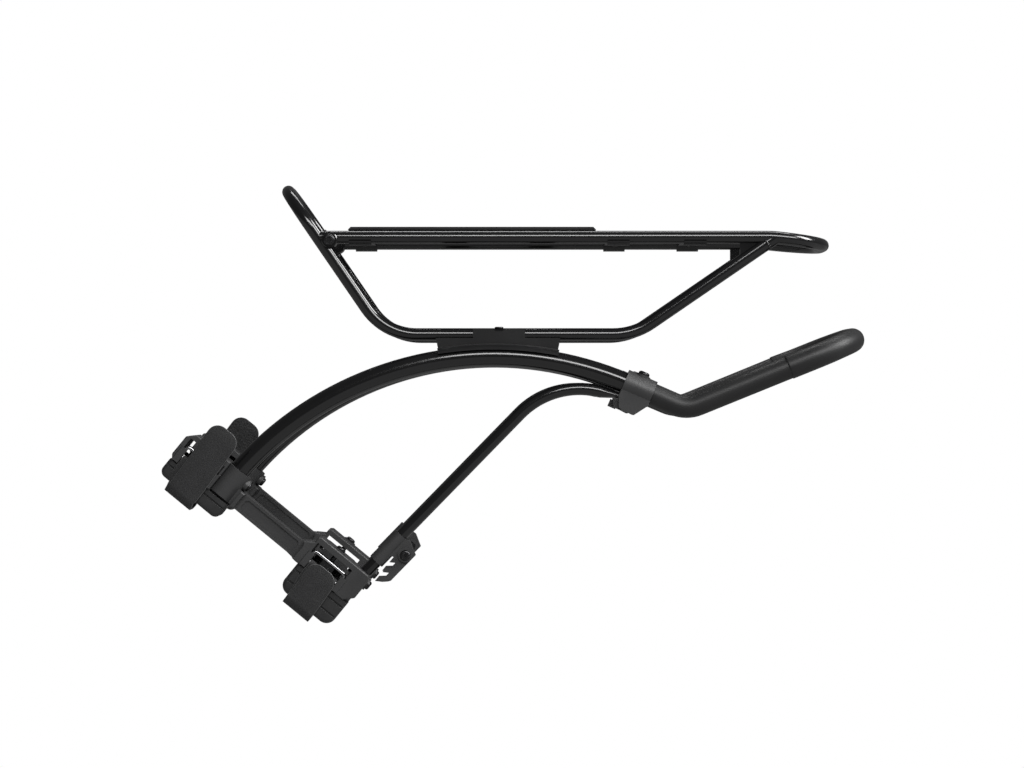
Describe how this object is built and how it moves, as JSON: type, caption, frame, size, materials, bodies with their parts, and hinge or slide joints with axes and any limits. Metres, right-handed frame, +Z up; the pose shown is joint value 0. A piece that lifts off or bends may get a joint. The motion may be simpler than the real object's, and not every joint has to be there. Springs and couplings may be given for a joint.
{
  "type": "rear rack",
  "caption": "Bicycle rear rack of black tube: flat deck with front hoop and pannier rails on two arched tubes, strapped to the seat stays, with a padded rear loop.",
  "frame": {"origin": "centre of the raised track plate's top face, midway between the two sides", "axes": "+Z up, +X towards the rear of the bicycle, +Y towards the bicycle's right side"},
  "size_m": [0.5441, 0.1388, 0.338],
  "materials": {
    "frame_paint": "gloss black paint on aluminium tube",
    "plate_black": "satin black anodised plate",
    "moulded_nylon": "matte black glass-filled nylon, fine grain",
    "pad_rubber": "soft black rubber",
    "grip_rubber": "matte black foam rubber sleeve",
    "webbing": "black hook-and-loop webbing",
    "bright_steel": "polished stainless wire",
    "black_steel": "black oxide steel fastener"
  },
  "bodies": {
    "root": {"deck_tube": "frame_paint", "side_frame_tube": "frame_paint", "front_lug_left": "frame_paint", "front_lug_right": "frame_paint", "rear_gusset_left": "frame_paint", "rear_gusset_right": "frame_paint", "arc_tube_left": "frame_paint", "arc_tube_right": "frame_paint", "strut_tube_left": "frame_paint", "strut_tube_right": "frame_paint", "loop_tube": "frame_paint", "track_plate": "plate_black", "cross_bracket_front": "plate_black", "cross_bracket_middle": "plate_black", "cross_bracket_rear": "plate_black", "saddle_bridge": "plate_black", "mount_arm_left": "moulded_nylon", "mount_arm_right": "moulded_nylon", "rear_collar_left": "moulded_nylon", "rear_collar_right": "moulded_nylon", "plate_screws": "black_steel", "front_lug_bolts": "black_steel", "saddle_screws": "black_steel", "collar_bolts": "black_steel", "collar_nuts": "black_steel", "arc_clamp_bolts": "black_steel", "strut_clamp_bolts": "black_steel", "clamp_inserts": "black_steel", "loop_grip": "grip_rubber", "pad_upper_left": "pad_rubber", "pad_upper_right": "pad_rubber", "pad_lower_left": "pad_rubber", "pad_lower_right": "pad_rubber"},
    "bolt_upper_left": {"tension_bolt_upper_left": "black_steel"},
    "ring_upper_left": {"tension_ring_upper_left": "bright_steel", "tension_nut_upper_left": "black_steel", "strap_upper_left": "webbing"},
    "flap_upper_left": {"strap_flap_upper_left": "webbing"},
    "bolt_upper_right": {"tension_bolt_upper_right": "black_steel"},
    "ring_upper_right": {"tension_ring_upper_right": "bright_steel", "tension_nut_upper_right": "black_steel", "strap_upper_right": "webbing"},
    "flap_upper_right": {"strap_flap_upper_right": "webbing"},
    "bolt_lower_left": {"tension_bolt_lower_left": "black_steel"},
    "ring_lower_left": {"tension_ring_lower_left": "bright_steel", "tension_nut_lower_left": "black_steel", "strap_lower_left": "webbing"},
    "flap_lower_left": {"strap_flap_lower_left": "webbing"},
    "bolt_lower_right": {"tension_bolt_lower_right": "black_steel"},
    "ring_lower_right": {"tension_ring_lower_right": "bright_steel", "tension_nut_lower_right": "black_steel", "strap_lower_right": "webbing"},
    "flap_lower_right": {"strap_flap_lower_right": "webbing"},
    "clip_left": {"hook_clip_left": "moulded_nylon", "hook_bolt_left": "black_steel", "hook_nut_left": "black_steel"},
    "clip_right": {"hook_clip_right": "moulded_nylon", "hook_bolt_right": "black_steel", "hook_nut_right": "black_steel"}
  },
  "joints": [
    {"name": "bolt_turn_upper_left", "type": "hinge", "parent": "root", "child": "bolt_upper_left", "pos_m": [-0.19748, -0.0595, -0.16989], "axis": [0.6347, 0, 0.7727], "range_deg": [-1441, 1441]},
    {"name": "ring_slide_upper_left", "type": "slide", "parent": "root", "child": "ring_upper_left", "axis": [0.6347, 0, 0.7727], "range_m": [-0.0028, 0.0028]},
    {"name": "flap_peel_upper_left", "type": "hinge", "parent": "ring_upper_left", "child": "flap_upper_left", "pos_m": [-0.22363, -0.0694, -0.20173], "axis": [0.7727, 0, -0.6347], "range_deg": [0, 75]},
    {"name": "bolt_turn_upper_right", "type": "hinge", "parent": "root", "child": "bolt_upper_right", "pos_m": [-0.19748, 0.0595, -0.16989], "axis": [0.6347, 0, 0.7727], "range_deg": [-1441, 1441]},
    {"name": "ring_slide_upper_right", "type": "slide", "parent": "root", "child": "ring_upper_right", "axis": [0.6347, 0, 0.7727], "range_m": [-0.0028, 0.0028]},
    {"name": "flap_peel_upper_right", "type": "hinge", "parent": "ring_upper_right", "child": "flap_upper_right", "pos_m": [-0.22363, 0.0694, -0.20173], "axis": [-0.7727, 0, 0.6347], "range_deg": [0, 75]},
    {"name": "bolt_turn_lower_left", "type": "hinge", "parent": "root", "child": "bolt_lower_left", "pos_m": [-0.10066, -0.0595, -0.24943], "axis": [0.6347, 0, 0.7727], "range_deg": [-1441, 1441]},
    {"name": "ring_slide_lower_left", "type": "slide", "parent": "root", "child": "ring_lower_left", "axis": [0.6347, 0, 0.7727], "range_m": [-0.0028, 0.0028]},
    {"name": "flap_peel_lower_left", "type": "hinge", "parent": "ring_lower_left", "child": "flap_lower_left", "pos_m": [-0.13226, -0.0694, -0.28791], "axis": [0.7727, 0, -0.6347], "range_deg": [0, 75]},
    {"name": "bolt_turn_lower_right", "type": "hinge", "parent": "root", "child": "bolt_lower_right", "pos_m": [-0.10066, 0.0595, -0.24943], "axis": [0.6347, 0, 0.7727], "range_deg": [-1441, 1441]},
    {"name": "ring_slide_lower_right", "type": "slide", "parent": "root", "child": "ring_lower_right", "axis": [0.6347, 0, 0.7727], "range_m": [-0.0028, 0.0028]},
    {"name": "flap_peel_lower_right", "type": "hinge", "parent": "ring_lower_right", "child": "flap_lower_right", "pos_m": [-0.13226, 0.0694, -0.28791], "axis": [-0.7727, 0, 0.6347], "range_deg": [0, 75]},
    {"name": "clip_slide_left", "type": "slide", "parent": "root", "child": "clip_left", "axis": [0.6984, 0, 0.7157], "range_m": [-0.003, 0.1]},
    {"name": "clip_slide_right", "type": "slide", "parent": "root", "child": "clip_right", "axis": [0.6984, 0, 0.7157], "range_m": [-0.003, 0.1]}
  ],
  "couplings": [
    {"joint": "bolt_turn_upper_left", "follows": "ring_slide_upper_left", "rad_per_m": -8976},
    {"joint": "bolt_turn_upper_right", "follows": "ring_slide_upper_right", "rad_per_m": -8976},
    {"joint": "bolt_turn_lower_left", "follows": "ring_slide_lower_left", "rad_per_m": -8976},
    {"joint": "bolt_turn_lower_right", "follows": "ring_slide_lower_right", "rad_per_m": -8976}
  ]
}
